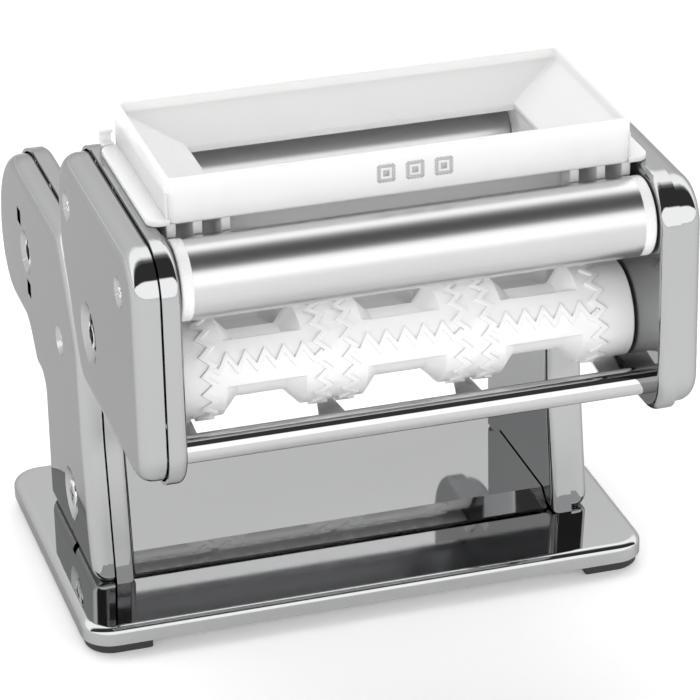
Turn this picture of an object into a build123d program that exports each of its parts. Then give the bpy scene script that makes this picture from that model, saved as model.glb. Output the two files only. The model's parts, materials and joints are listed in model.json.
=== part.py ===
"""Hand-cranked pasta sheeting machine with a ravioli-moulding unit hung on its front.

Axes: X runs along the rollers, -Y is the side of the ravioli unit, +Z is up.
The origin is on the table, under the middle of the base plate.
"""

from build123d import *
import math
import os

os.makedirs("parts", exist_ok=True)

# ---------------------------------------------------------------- driving dimensions (mm)
SHEET = 1.2                    # sheet-metal thickness of covers and base

# base plate
BASE_HALF_X = 103.0
BASE_HALF_Y = 65.0
BASE_CORNER = 11.0
FOOT_HEIGHT = 4.0
BASE_TOP = 10.6
BASE_EDGE = 2.8
PLATFORM_TOP = 16.2
PLATFORM_HALF_X = 77.2
PLATFORM_SLOPE = 6.0
PLATFORM_FRONT = -30.0
PLATFORM_BACK = 33.0
FOOT_LENGTH = 22.0
FOOT_WIDTH = 14.0

# sheeting machine side covers: a cap outside, a plate inside, a seam between
MACHINE_INNER = 77.6
MACHINE_SEAM = 85.0
MACHINE_OUTER = 92.5
SEAM_GAP = 0.3
CAP_ROUND = 5.0
PLATE_ROUND = 2.6
PLATE_PROUD = 1.8              # how far an inner plate stands out past its cap
DISH_FLAT = 0.62               # flat floor of a pressed dish, as a share of its radius
MACHINE_DISH_DEPTH = 1.8
LEG_BOLT = (0.0, 31.0)
LEG_DIMPLE = 10.0
CRANK_DISH = 8.5
SMALL_DISH = 5.8
MOTOR_SLOTS = ((8.5, 10.9), (-3.0, -13.2))
MOTOR_SLOT_HALF = (2.9, 2.9)
LEG_NOTCH = (-0.5, 3.5)
LEG_RUNOUT = 20.0              # leg outline drawn on below the base before it is cut level
BASE_SCREW_Y = (-16.0, 18.0)
BRACKET_FRONT = -24.0
BRACKET_BACK = 26.0

# sheeting rollers
SMOOTH_R = 14.2
SMOOTH_GAP = 0.6
SMOOTH_TRAVEL = 2.8
SMOOTH_HALF = 76.6
DRIVE_Y = 59.0
DRIVE_Z = 100.4
SHAFT_R = 4.5
BUSH_R = 7.0
RUNNING = 0.05
SMOOTH_TEETH = 20
GEAR_WIDTH = 5.0
PRESSURE_ANGLE = 20.0
SOCKET_R = 3.0
SOCKET_DEPTH = 12.0
SCRAPER_CLEARANCE = 0.4

# ravioli unit
UNIT_INNER = 80.0
UNIT_SEAM = 86.7
UNIT_OUTER = 95.3
UNIT_BACK = -16.7
UNIT_FRONT = -129.5
UNIT_TOP = 175.5
UNIT_BOTTOM = 94.6
NIP_Y = -75.0                  # plane midway between the two moulding rollers
MOULD_Z = 119.5
MOULD_SPACING = 35.6           # distance between the two moulding axes
LAND_R = 16.5
RIDGE_R = 17.5
CORE_R = 11.0
MOULD_HALF = 79.4
CELL_PITCH = 47.7
CELL_HALF = 19.2               # from a cell's middle to its sealing ridge
POCKET_FLOOR_HALF = 8.3
POCKET_MOUTH_HALF = 13.5
POCKET_ARC = 126.0
RIDGE_WIDTH = 1.8
MOULD_TEETH = 20
LAND_TILT = 25.6               # how far the outward lands are turned up
CRANK_DIMPLE = 11.0
CRANK_DIMPLE_DEPTH = 2.0
CRANK_DIMPLE_SHIFT = (-1.0, 1.3)   # the dish's middle lies a little off the shaft
UNIT_DISH = 5.4
UNIT_DISH_DEPTH = 1.4
CAP_POSTS = ((-107.3, 157.0), (-33.0, 156.4))
POST_R = 3.0

# rollers that carry the dough sheets into the ravioli unit
CARRY_R = 13.3
CARRY_Y = 40.2                 # each side of the nip plane
CARRY_Z = 162.1
CARRY_WALL = 1.5
RING_WIDTH = 4.0
RING_END_GAP = 0.6
AXLE_R = 4.0

# tie rods
FRONT_ROD = (-115.8, 102.3)
FRONT_ROD_R = 4.7
REAR_ROD = (-33.0, 124.0)
HANG_ROD = (-6.0, 112.0)       # rod of the machine that the unit hangs from
LOW_ROD = (6.0, 89.0)
ROD_R = 4.0
ROD_NECK = 3.2
SPACER_NECK = 2.4
TAPPED_R = 1.2
SCREW_HEAD = 1.9
SCREW_HEIGHT = 1.0
BOLT_HEAD = 5.0
BOLT_HEIGHT = 1.6

# stripper combs below the moulding rollers, as (y, z) at the root and at the tips
FRONT_COMB = ((-110.0, 98.4), (-92.5, 101.0))
REAR_COMB = ((-46.5, 100.6), (-57.5, 100.8))
COMB_STRIP = 4.0
FINGER_ROOT = 5.6
FINGER_TIP = 2.8
COMB_END_GAP = 3.0

# hooks that hang the unit on the machine
HOOK_THICK = 2.0
HOOK_INSET = 7.5               # from the machine's inner plate
HOOK_PLAY = 0.35

# hopper
HOPPER_HALF_X = 78.3
HOPPER_FRONT = -107.0
HOPPER_BACK = -36.0
HOPPER_BOTTOM = 177.4
HOPPER_TOP = 193.0
HOPPER_WALL = 2.0
HOPPER_CORNER = 3.0
THROAT_HALF_X = 57.0
THROAT_FRONT = -93.0
THROAT_BACK = -51.0
THROAT_Z = 180.0
EAR_REACH = 84.4
EAR_THICK = 2.0
RIB_X = (56.5, 66.0, 75.5)
RIB_THICK = 3.6
RIB_SHOULDER = 166.0           # height where a rib leaves the roller clearance
RIB_TIP = (-86.0, -64.0, 154.0)    # front, back and height of a rib's lower end
APRON_LOW = 163.0              # lower edge of the wall in front of the throat
THROAT_CUT = 30.0

# thickness knob on the right side
KNOB_R = 17.0
KNOB_LENGTH = 17.0
KNOB_FLUTES = 18
HUB_R = 6.0
DIAL_RIM = 4.5
DIAL_SETTINGS = 10
DIAL_STEP = 30.0

# values that follow from the ones above
LEG_MID = (MACHINE_INNER + MACHINE_OUTER) / 2
MACHINE_NECK_END = MACHINE_OUTER - SHEET - MACHINE_DISH_DEPTH
MACHINE_SHAFT_END = -(MACHINE_OUTER - 0.9)
MACHINE_GEAR_X = -(MACHINE_SEAM - 1.2)
POST_END = UNIT_OUTER - SHEET - UNIT_DISH_DEPTH
UNIT_SHAFT_END = -(UNIT_OUTER - 1.2)
UNIT_GEAR_X = UNIT_INNER + 6.0
KNOB_START = MACHINE_OUTER + 1.4
SMOOTH_SPACING = 2 * SMOOTH_R + SMOOTH_GAP
ADJUST_Y = DRIVE_Y - SMOOTH_SPACING
MOULD_FRONT_Y = NIP_Y - MOULD_SPACING / 2
MOULD_REAR_Y = NIP_Y + MOULD_SPACING / 2
CARRY_FRONT_Y = NIP_Y - CARRY_Y
CARRY_REAR_Y = NIP_Y + CARRY_Y
SIDES = {"left": -1, "right": 1}

# corners of the side outlines as (y, z, corner radius)
MACHINE_OUTLINE = (
    (-32.5, BASE_TOP, 2.0),
    (39.5, BASE_TOP, 2.0),
    (39.5, 57.5, 4.0),
    (51.2, 57.5, 6.0),
    (62.9, 69.8, 10.0),
    (107.5, 69.8, 23.0),
    (107.5, 131.5, 38.0),
    (-2.0, 131.5, 14.0),
    (-24.0, 99.5, 20.0),
    (-25.0, 62.0, 60.0),
)
UNIT_OUTLINE = (
    (UNIT_BACK, UNIT_TOP, 20.0),
    (UNIT_FRONT, UNIT_TOP, 15.0),
    (UNIT_FRONT, UNIT_BOTTOM, 13.0),
    (-40.9, UNIT_BOTTOM, 14.0),
    (UNIT_BACK, 139.5, 25.0),
)


# ---------------------------------------------------------------- shared shapes
def yz_plane(x):
    """A sketch plane at x whose local axes are world Y and Z."""
    return Plane(origin=(x, 0, 0), x_dir=(0, 1, 0), z_dir=(1, 0, 0))


def rod(x0, x1, y, z, radius):
    """A cylinder along X from x0 to x1."""
    low, high = sorted((x0, x1))
    return extrude(yz_plane(low) * Pos(y, z) * Circle(radius), high - low)


def tube(x0, x1, y, z, radius, bore):
    """A hollow cylinder along X from x0 to x1."""
    low, high = sorted((x0, x1))
    return rod(low, high, y, z, radius) - rod(low - 1, high + 1, y, z, bore)


def brick(x0, x1, y0, y1, z0, z1):
    """A box between opposite corners."""
    return Pos((x0 + x1) / 2, (y0 + y1) / 2, (z0 + z1) / 2) * Box(
        abs(x1 - x0), abs(y1 - y0), abs(z1 - z0)
    )


def outline_face(corners):
    """The filled side outline, in local (y, z)."""
    points = [(y, z) for y, z, _ in corners]
    radii = [radius for _, _, radius in corners]
    return make_face(FilletPolyline(*points, radius=radii, close=True).edges())


def slab(face, x0, x1):
    """The face swept along X between x0 and x1."""
    low, high = sorted((x0, x1))
    return extrude(yz_plane(low) * face, high - low)


def edges_at(solid, x):
    """Edges that lie wholly in the plane at x."""
    return solid.edges().filter_by_position(Axis.X, x - 0.01, x + 0.01)


def leg_plate_face():
    """The machine plate's outline: its cap's outline grown all round, cut at the base."""
    front, back = MACHINE_OUTLINE[:2]
    knee = MACHINE_OUTLINE[-1]
    lean = (front[0] - knee[0]) / (knee[1] - front[1])
    low = BASE_TOP - LEG_RUNOUT
    feet = [(front[0] + lean * LEG_RUNOUT, low, front[2]), (back[0], low, back[2])]
    grown = offset(outline_face([*feet, *MACHINE_OUTLINE[2:]]), amount=PLATE_PROUD)
    return grown & Pos(0, BASE_TOP + 200) * Rectangle(400, 400)


def side_shell(face, closed_x, open_x, round_radius):
    """An open pressed tray: its flat wall at closed_x, its rim at open_x."""
    toward = 1 if open_x > closed_x else -1
    outer = slab(face, closed_x, open_x)
    outer = fillet(edges_at(outer, closed_x), round_radius)
    wall_x = closed_x + toward * SHEET
    inner = slab(offset(face, amount=-SHEET), wall_x, open_x + toward)
    inner = fillet(edges_at(inner, wall_x), round_radius - SHEET)
    return outer - inner


def gear(x0, x1, y, z, teeth, spacing, phase, bore):
    """A spur gear along X with involute flanks; two equal ones mesh at the spacing."""
    pitch_r = spacing / 2
    module = 2 * pitch_r / teeth
    base_r = pitch_r * math.cos(math.radians(PRESSURE_ANGLE))
    tip_r = pitch_r + 0.85 * module
    root_r = pitch_r - 1.2 * module
    half_tooth = math.pi / (2 * teeth) - 0.09 / pitch_r

    def involute(radius):
        swing = math.sqrt(max(0.0, (radius / base_r) ** 2 - 1))
        return swing - math.atan(swing)

    def flank(radius):
        return half_tooth + involute(pitch_r) - involute(max(radius, base_r))

    radii = [root_r] + [base_r + (tip_r - base_r) * i / 4 for i in range(5)]
    points = []
    for tooth in range(teeth):
        middle = math.radians(phase) + 2 * math.pi * tooth / teeth
        for radius in radii:
            angle = middle - flank(radius)
            points.append((y + radius * math.cos(angle), z + radius * math.sin(angle)))
        for radius in reversed(radii):
            angle = middle + flank(radius)
            points.append((y + radius * math.cos(angle), z + radius * math.sin(angle)))
    blank = make_face(Polyline(*points, close=True).edges())
    return slab(blank, x0, x1) - rod(min(x0, x1) - 1, max(x0, x1) + 1, y, z, bore)


def pan_screw(face_x, side, y, z, radius, height, length):
    """A cross-slotted pan-head screw whose head rests on the face at face_x."""
    top_x = face_x + side * height
    head = rod(face_x, top_x, y, z, radius)
    head = fillet(edges_at(head, top_x), height * 0.55)
    shank = rod(face_x, face_x - side * length, y, z, radius * 0.5)
    slot_x = face_x + side * height * 0.7
    reach = radius * 0.6
    half = radius * 0.12
    slots = brick(slot_x, slot_x + side, y - reach, y + reach, z - half, z + half)
    slots += brick(slot_x, slot_x + side, y - half, y + half, z - reach, z + reach)
    return head + shank - slots


def dished(solid, face_x, side, y, z, radius, depth):
    """The shell with a shallow round dish pressed into its flat wall."""
    flat_r = radius * DISH_FLAT

    def cone(start_x):
        mouth = yz_plane(start_x) * Pos(y, z) * Circle(radius)
        floor = yz_plane(start_x - side * depth) * Pos(y, z) * Circle(flat_r)
        return loft([mouth, floor])

    return solid + cone(face_x - side * SHEET) - cone(face_x)


def save(shape, name):
    export_step(shape, f"parts/{name}.step")


# ---------------------------------------------------------------- base
def base_plate():
    """Pressed plate with a turned-down rim and a raised platform between the legs."""
    blank = RectangleRounded(2 * BASE_HALF_X, 2 * BASE_HALF_Y, BASE_CORNER)
    body = Pos(0, 0, FOOT_HEIGHT) * extrude(blank, BASE_TOP - FOOT_HEIGHT)
    rim = body.edges().filter_by_position(Axis.Z, BASE_TOP - 0.01, BASE_TOP + 0.01)
    body = fillet(rim, BASE_EDGE)
    under = RectangleRounded(
        2 * (BASE_HALF_X - SHEET), 2 * (BASE_HALF_Y - SHEET), BASE_CORNER - SHEET
    )
    hollow = Pos(0, 0, FOOT_HEIGHT - 1) * extrude(under, BASE_TOP - FOOT_HEIGHT - SHEET + 1)
    upper = hollow.edges().filter_by_position(
        Axis.Z, BASE_TOP - SHEET - 0.01, BASE_TOP - SHEET + 0.01
    )
    hollow = fillet(upper, BASE_EDGE - SHEET)
    body -= hollow
    body += platform(PLATFORM_HALF_X, PLATFORM_TOP, 0.0)
    body -= platform(PLATFORM_HALF_X - SHEET, PLATFORM_TOP - SHEET, SHEET)
    for side in SIDES.values():
        for screw_y in BASE_SCREW_Y:
            body -= Pos(side * LEG_MID, screw_y, BASE_TOP) * Cylinder(2.1, 8)
    return body


def platform(half_x, top, inset):
    """The trapezoid rib across the base, shrunk by inset for its underside."""
    low = BASE_TOP - SHEET - (0.5 if inset else 0.0)
    front = PLATFORM_FRONT + inset
    back = PLATFORM_BACK - inset
    rise = (top - low) / (PLATFORM_TOP - BASE_TOP) * PLATFORM_SLOPE
    points = [(front, low), (front + rise, top), (back - rise, top), (back, low)]
    return slab(make_face(Polyline(*points, close=True).edges()), -half_x, half_x)


def foot(side_x, side_y):
    """A rubber pad that fills a corner of the base from below."""
    outer_x = side_x * (BASE_HALF_X - SHEET - 0.2)
    outer_y = side_y * (BASE_HALF_Y - SHEET - 0.2)
    pad = brick(
        outer_x, outer_x - side_x * FOOT_LENGTH, outer_y, outer_y - side_y * FOOT_WIDTH,
        0, BASE_TOP - SHEET - 1.4,
    )
    corner = pad.edges().filter_by(Axis.Z).sort_by(
        lambda edge: -(side_x * edge.center().X + side_y * edge.center().Y)
    )[0]
    pad = fillet(corner, BASE_CORNER - SHEET - 0.2)
    sole = pad.edges().filter_by_position(Axis.Z, -0.01, 0.01)
    return chamfer(sole, 0.8)


def leg_bracket(side):
    """An angle inside each leg that ties the leg to the base."""
    inner = side * (MACHINE_INNER + PLATE_ROUND + 0.2)
    outer = side * (MACHINE_OUTER - SHEET - MACHINE_DISH_DEPTH - 0.6)
    floor_z = BASE_TOP + SHEET
    plate = brick(inner, outer, BRACKET_FRONT, BRACKET_BACK, floor_z, floor_z + 2.5)
    plate = chamfer(edges_at(plate, outer).sort_by(Axis.Z)[0], 1.6)
    upright = brick(outer - side * 2.5, outer, -12, 12, floor_z + 1.6, LEG_BOLT[1] + 8)
    body = plate + upright
    for screw_y in BASE_SCREW_Y:
        body -= Pos(side * LEG_MID, screw_y, floor_z) * Cylinder(1.6, 12)
    return body - rod(outer + side, outer - side * 4, *LEG_BOLT, 2.5)


def base_screw(side, y):
    """A screw up through the base and the leg into its bracket."""
    shank = Pos(side * LEG_MID, y, BASE_TOP - SHEET) * extrude(Circle(1.55), 6)
    head = Pos(side * LEG_MID, y, BASE_TOP - SHEET - 2) * extrude(Circle(3.2), 2)
    return shank + fillet(head.edges().sort_by(Axis.Z)[0], 0.8)


# ---------------------------------------------------------------- sheeting machine
def machine_cap(side):
    """Outer pressed cover of the machine, from the leg's foot to the roller housing."""
    face_x = side * MACHINE_OUTER
    rim_x = side * (MACHINE_SEAM + SEAM_GAP / 2)
    body = side_shell(outline_face(MACHINE_OUTLINE), face_x, rim_x, CAP_ROUND)
    body = dished(body, face_x, side, *LOW_ROD, SMALL_DISH, MACHINE_DISH_DEPTH)
    body -= rod(face_x, face_x - side * 6, *LOW_ROD, 1.1)
    body = dished(body, face_x, side, *LEG_BOLT, LEG_DIMPLE, MACHINE_DISH_DEPTH)
    body -= rod(face_x, face_x - side * 6, *LEG_BOLT, 2.6)
    if side < 0:
        body = dished(body, face_x, side, DRIVE_Y, DRIVE_Z, CRANK_DISH, MACHINE_DISH_DEPTH)
        body -= rod(face_x, face_x - side * 6, DRIVE_Y, DRIVE_Z, SHAFT_R + 0.5)
        for slot_y, slot_z in MOTOR_SLOTS:
            half_y, half_z = MOTOR_SLOT_HALF
            body -= brick(
                face_x - 3, face_x + 3,
                DRIVE_Y + slot_y - half_y, DRIVE_Y + slot_y + half_y,
                DRIVE_Z + slot_z - half_z, DRIVE_Z + slot_z + half_z,
            )
    else:
        body -= rod(face_x + 1, face_x - 6, ADJUST_Y, DRIVE_Z, HUB_R + 0.4)
    body -= brick(face_x - side * 4, face_x + side, *LEG_NOTCH, BASE_TOP + SHEET, BASE_TOP + 4.5)
    return body - base_screw_holes(side)


def base_screw_holes(side):
    """Clearance for the screws that come up through the base into the leg."""
    holes = Pos(side * LEG_MID, BASE_SCREW_Y[0], BASE_TOP) * Cylinder(1.7, 8)
    return holes + Pos(side * LEG_MID, BASE_SCREW_Y[1], BASE_TOP) * Cylinder(1.7, 8)


def machine_plate(side):
    """Inner pressed plate that carries the roller bearings and the rods."""
    wall_x = side * MACHINE_INNER
    open_x = side * (MACHINE_SEAM - SEAM_GAP / 2)
    body = side_shell(leg_plate_face(), wall_x, open_x, PLATE_ROUND)
    through = wall_x - side * 2, wall_x + side * 3
    body -= rod(*through, DRIVE_Y, DRIVE_Z, BUSH_R)
    slot_r = BUSH_R + 0.4
    body -= rod(*through, ADJUST_Y, DRIVE_Z, slot_r)
    body -= rod(*through, ADJUST_Y - SMOOTH_TRAVEL, DRIVE_Z, slot_r)
    body -= brick(
        *through, ADJUST_Y - SMOOTH_TRAVEL, ADJUST_Y, DRIVE_Z - slot_r, DRIVE_Z + slot_r
    )
    body -= rod(*through, *LOW_ROD, ROD_NECK)
    body -= rod(*through, *HANG_ROD, SPACER_NECK)
    return body - base_screw_holes(side)


def bush(side, inner_x, y, z):
    """A plain bearing bush pressed into a plate."""
    start = side * (inner_x - 0.3)
    return tube(start, start + side * 5.8, y, z, BUSH_R, SHAFT_R + RUNNING)


def sheeting_roller(y, left_end, right_end):
    """A smooth steel roller turned in one piece with its two journals."""
    barrel = rod(-SMOOTH_HALF, SMOOTH_HALF, y, DRIVE_Z, SMOOTH_R)
    barrel = chamfer(edges_at(barrel, SMOOTH_HALF) + edges_at(barrel, -SMOOTH_HALF), 0.6)
    return barrel + rod(left_end, right_end, y, DRIVE_Z, SHAFT_R)


def drive_socket(shaft, end_x, y, z):
    """The shaft with the crank's round socket and driving slot in its left end."""
    shaft -= rod(end_x - 1, end_x + SOCKET_DEPTH, y, z, SOCKET_R)
    return shaft - brick(end_x - 1, end_x + 2.5, y - 0.9, y + 0.9, z - 6, z + 6)


def eccentric_bushes():
    """The two bearing blocks of the adjustable roller, which slide in the plates."""
    return [bush(side, MACHINE_INNER, ADJUST_Y, DRIVE_Z) for side in SIDES.values()]


def scraper(axis_y, lean):
    """A thin blade that keeps dough off the underside of a smooth roller."""
    tip_y = axis_y + lean * 5.0
    tip_z = DRIVE_Z - SMOOTH_R - SCRAPER_CLEARANCE
    foot_y = tip_y + lean * 7.0
    points = [
        (tip_y, tip_z), (tip_y + lean * 1.2, tip_z), (foot_y + lean * 1.2, tip_z - 7),
        (foot_y + lean * 1.2, tip_z - 10), (foot_y, tip_z - 10), (foot_y, tip_z - 7),
    ]
    blade = make_face(Polyline(*points, close=True).edges())
    return slab(blade, -MACHINE_INNER + 0.1, MACHINE_INNER - 0.1)


def necked_rod(half, neck_end, y, z, radius):
    """A spacer rod whose thinner ends pass through the plates and hold a screw."""
    body = rod(-half, half, y, z, radius)
    body = chamfer(edges_at(body, half) + edges_at(body, -half), 0.4)
    body += rod(-neck_end, neck_end, y, z, ROD_NECK)
    for side in SIDES.values():
        body -= rod(side * neck_end, side * (neck_end - 8), y, z, TAPPED_R)
    return body


def spacer_rod(half, y, z, radius):
    """A rod between two plates whose thinner ends pass through them."""
    neck_end = half + SHEET + 1.2
    return rod(-half, half, y, z, radius) + rod(-neck_end, neck_end, y, z, SPACER_NECK)


def knob_hub():
    """The stub that turns the roller's eccentric bushes; the knob slides on it."""
    start = MACHINE_SEAM + 1.6
    stub = rod(start, MACHINE_OUTER + 8, ADJUST_Y, DRIVE_Z, HUB_R)
    return stub + rod(start, start + 3, ADJUST_Y, DRIVE_Z, HUB_R + 3.5)


def knob_dial():
    """The index ring on the right cap, with a shallow notch for each setting."""
    low = MACHINE_OUTER
    ring = tube(low, low + 1.0, ADJUST_Y, DRIVE_Z, KNOB_R + DIAL_RIM, HUB_R + 0.6)
    for step in range(DIAL_SETTINGS):
        angle = math.radians(step * DIAL_STEP)
        reach = KNOB_R + 3.0
        notch_y = ADJUST_Y + reach * math.cos(angle)
        notch_z = DRIVE_Z + reach * math.sin(angle)
        ring -= rod(low + 0.5, low + 2, notch_y, notch_z, 0.8)
    return ring


def thickness_knob():
    """A ribbed knob, hollow behind, that is pulled out and turned to a setting."""
    end = KNOB_START + KNOB_LENGTH
    body = rod(KNOB_START, end, ADJUST_Y, DRIVE_Z, KNOB_R)
    body = fillet(edges_at(body, end), 2.5)
    for rib in range(KNOB_FLUTES):
        angle = 2 * math.pi * rib / KNOB_FLUTES
        flute_y = ADJUST_Y + (KNOB_R + 1.2) * math.cos(angle)
        flute_z = DRIVE_Z + (KNOB_R + 1.2) * math.sin(angle)
        body -= rod(KNOB_START + 4, end + 1, flute_y, flute_z, 2.0)
    body -= rod(KNOB_START - 1, MACHINE_OUTER + 9, ADJUST_Y, DRIVE_Z, HUB_R + RUNNING)
    return body


# ---------------------------------------------------------------- ravioli unit
def unit_cap(side):
    """Outer pressed cover of the ravioli unit."""
    face_x = side * UNIT_OUTER
    rim_x = side * (UNIT_SEAM + SEAM_GAP / 2)
    body = side_shell(outline_face(UNIT_OUTLINE), face_x, rim_x, CAP_ROUND + 0.6)
    for post in CAP_POSTS:
        body = dished(body, face_x, side, *post, UNIT_DISH, UNIT_DISH_DEPTH)
        body -= rod(face_x, face_x - side * 6, *post, 1.1)
    if side < 0:
        dish_y = MOULD_REAR_Y + CRANK_DIMPLE_SHIFT[0]
        dish_z = MOULD_Z + CRANK_DIMPLE_SHIFT[1]
        body = dished(body, face_x, side, dish_y, dish_z, CRANK_DIMPLE, CRANK_DIMPLE_DEPTH)
        body -= rod(face_x, face_x - side * 6, MOULD_REAR_Y, MOULD_Z, SHAFT_R + 0.5)
    return body


def unit_plate(side):
    """Inner pressed plate that carries the moulding rollers and the carrying axles."""
    wall_x = side * UNIT_INNER
    rim_x = side * (UNIT_SEAM - SEAM_GAP / 2)
    grown = offset(outline_face(UNIT_OUTLINE), amount=PLATE_PROUD)
    body = side_shell(grown, wall_x, rim_x, PLATE_ROUND)
    through = wall_x - side * 2, wall_x + side * 3
    for axis_y in (MOULD_FRONT_Y, MOULD_REAR_Y):
        body -= rod(*through, axis_y, MOULD_Z, BUSH_R)
    for axis_y in (CARRY_FRONT_Y, CARRY_REAR_Y):
        body -= rod(*through, axis_y, CARRY_Z, SPACER_NECK)
    body -= rod(*through, *FRONT_ROD, SPACER_NECK)
    return body - rod(*through, *REAR_ROD, SPACER_NECK)


def moulding_roller(axis_y):
    """A moulded roller: three cells along it, two pockets round it, sealing ridges.

    The land that faces away from the nip is turned up by LAND_TILT.
    """
    body = rod(-MOULD_HALF, MOULD_HALF, axis_y, MOULD_Z, LAND_R)
    for cell in (-1, 0, 1):
        middle = cell * CELL_PITCH
        for end in (-1, 1):
            ridge_x = middle + end * CELL_HALF
            body += rod(
                ridge_x - RIDGE_WIDTH / 2, ridge_x + RIDGE_WIDTH / 2, axis_y, MOULD_Z, RIDGE_R
            )
        for facing in (-1, 1):
            body += brick(
                middle - CELL_HALF, middle + CELL_HALF,
                axis_y + facing * (LAND_R - 1), axis_y + facing * RIDGE_R,
                MOULD_Z - RIDGE_WIDTH / 2, MOULD_Z + RIDGE_WIDTH / 2,
            )
            body -= pocket(middle, axis_y, facing)
    body -= rod(-MOULD_HALF - 1, MOULD_HALF + 1, axis_y, MOULD_Z, SHAFT_R)
    tilt = LAND_TILT if axis_y > NIP_Y else -LAND_TILT
    return body.rotate(Axis((0, axis_y, MOULD_Z), (1, 0, 0)), tilt)


def pocket(middle, axis_y, facing):
    """The tapered pocket above (facing 1) or below (facing -1) the axis."""
    rim_r = RIDGE_R + 1.0
    slope = (POCKET_MOUTH_HALF - POCKET_FLOOR_HALF) / (LAND_R - CORE_R)
    rim_half = POCKET_FLOOR_HALF + slope * (rim_r - CORE_R)
    points = [
        (-POCKET_FLOOR_HALF, CORE_R), (POCKET_FLOOR_HALF, CORE_R),
        (rim_half, rim_r), (-rim_half, rim_r),
    ]
    profile = make_face(Polyline(*points, close=True).edges())
    swept = revolve(Plane.XY * profile, Axis.X, POCKET_ARC)
    start = 90 - POCKET_ARC / 2 if facing > 0 else 270 - POCKET_ARC / 2
    return Pos(middle, axis_y, MOULD_Z) * Rot(start, 0, 0) * swept


def carrying_tube(axis_y):
    """The drawn metal tube that a dough sheet rides over."""
    half = UNIT_INNER - RING_END_GAP - RING_WIDTH
    return tube(-half, half, axis_y, CARRY_Z, CARRY_R, CARRY_R - CARRY_WALL)


def carrying_ring(axis_y, side):
    """A plastic end ring: a flange as wide as the tube and a spigot inside it."""
    outer = UNIT_INNER - RING_END_GAP
    inner = outer - RING_WIDTH
    body = rod(side * inner, side * outer, axis_y, CARRY_Z, CARRY_R - 0.1)
    body = fillet(edges_at(body, side * outer), 0.8)
    body += rod(side * (inner - 5), side * inner, axis_y, CARRY_Z, CARRY_R - CARRY_WALL)
    return body - rod(side * (inner - 6), side * (outer + 1), axis_y, CARRY_Z, AXLE_R + RUNNING)


def carrying_axle(axis_y):
    """The fixed axle of a carrying roller, held in the two inner plates."""
    return spacer_rod(UNIT_INNER - 0.1, axis_y, CARRY_Z, AXLE_R)


def cap_post(side, post):
    """A tapped post on the outside of a unit plate that takes a cap's screw."""
    start = side * (UNIT_INNER + SHEET)
    end = side * POST_END
    body = rod(start, end, *post, POST_R)
    return body - rod(end, end - side * 8, *post, TAPPED_R)


def stripper_comb(root, tip):
    """A bent strip across the unit with tapered fingers between the cells."""
    root_y, root_z = root
    tip_y, tip_z = tip
    half = UNIT_INNER - 0.1
    direction = 1 if tip_y > root_y else -1
    strip_end = root_y + direction * COMB_STRIP
    slope = (tip_z - root_z) / (tip_y - root_y)

    def blade(y0, y1):
        z0 = root_z + slope * (y0 - root_y)
        z1 = root_z + slope * (y1 - root_y)
        corners = [(y0, z0), (y1, z1), (y1, z1 - SHEET), (y0, z0 - SHEET)]
        return make_face(Polyline(*corners, close=True).edges())

    body = slab(blade(root_y, strip_end), -half, half)
    for finger in (-0.5, 0.5):
        middle = finger * CELL_PITCH
        body += finger_blade(middle, blade(strip_end, tip_y), strip_end, tip_y)
    for side in SIDES.values():
        inner = side * (CELL_PITCH + CELL_HALF + COMB_END_GAP)
        body += slab(blade(strip_end, tip_y), inner, side * half)
    return body


def finger_blade(middle, face, root_y, tip_y):
    """One finger, wide at its root and narrow at its tip."""
    blade = slab(face, middle - FINGER_ROOT, middle + FINGER_ROOT)
    corners = [
        (middle - FINGER_ROOT, root_y), (middle + FINGER_ROOT, root_y),
        (middle + FINGER_TIP, tip_y), (middle - FINGER_TIP, tip_y),
    ]
    mask = make_face(Polyline(*corners, close=True).edges())
    return blade & Pos(0, 0, UNIT_BOTTOM - 10) * extrude(mask, 40)


def mounting_hook(side):
    """A flat steel hook from the unit's rear rod over the machine's hanging rod."""
    hang_y, hang_z = HANG_ROD
    points = [
        (-39.5, 119.0), (-38.0, 130.0), (-12.0, 121.5), (hang_y + 7.5, 121.5),
        (hang_y + 7.5, hang_z - 6), (hang_y - 7.5, hang_z - 6), (hang_y - 7.5, hang_z),
        (-30.0, 117.0),
    ]
    face = make_face(Polyline(*points, close=True).edges())
    start = side * (MACHINE_INNER - HOOK_INSET)
    body = slab(face, start, start + side * HOOK_THICK)
    body -= rod(start - side, start + side * 3, *REAR_ROD, ROD_R)
    notch = ROD_R + HOOK_PLAY
    body -= rod(start - side, start + side * 3, hang_y, hang_z, notch)
    return body - brick(
        start - side, start + side * 3, hang_y - notch, hang_y + notch, hang_z - 8, hang_z
    )


def hopper():
    """The lift-off filling tray: thin walls, sloping floor, open throat, ears and ribs."""
    depth = HOPPER_BACK - HOPPER_FRONT
    middle_y = (HOPPER_FRONT + HOPPER_BACK) / 2
    height = HOPPER_TOP - HOPPER_BOTTOM
    outside = RectangleRounded(2 * HOPPER_HALF_X, depth, HOPPER_CORNER)
    inside = RectangleRounded(
        2 * (HOPPER_HALF_X - HOPPER_WALL), depth - 2 * HOPPER_WALL, HOPPER_CORNER - HOPPER_WALL
    )
    block = Pos(0, middle_y, HOPPER_BOTTOM) * extrude(outside, height)
    tray = block - Pos(0, middle_y, HOPPER_BOTTOM - 1) * extrude(inside, height + 2)
    for side in SIDES.values():
        for rib_x in RIB_X:
            tray += rib(side * rib_x)
    tray += apron()
    tray += block & funnel(HOPPER_WALL, HOPPER_BOTTOM)
    tray -= funnel(0, THROAT_Z)
    tray -= funnel(0, THROAT_Z, straight=True)
    for side in SIDES.values():
        tray += ear(side)
    for axis_y in (CARRY_FRONT_Y, CARRY_REAR_Y):
        tray -= rod(-UNIT_INNER, UNIT_INNER, axis_y, CARRY_Z, CARRY_R + 1.0)
    return tray


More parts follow.
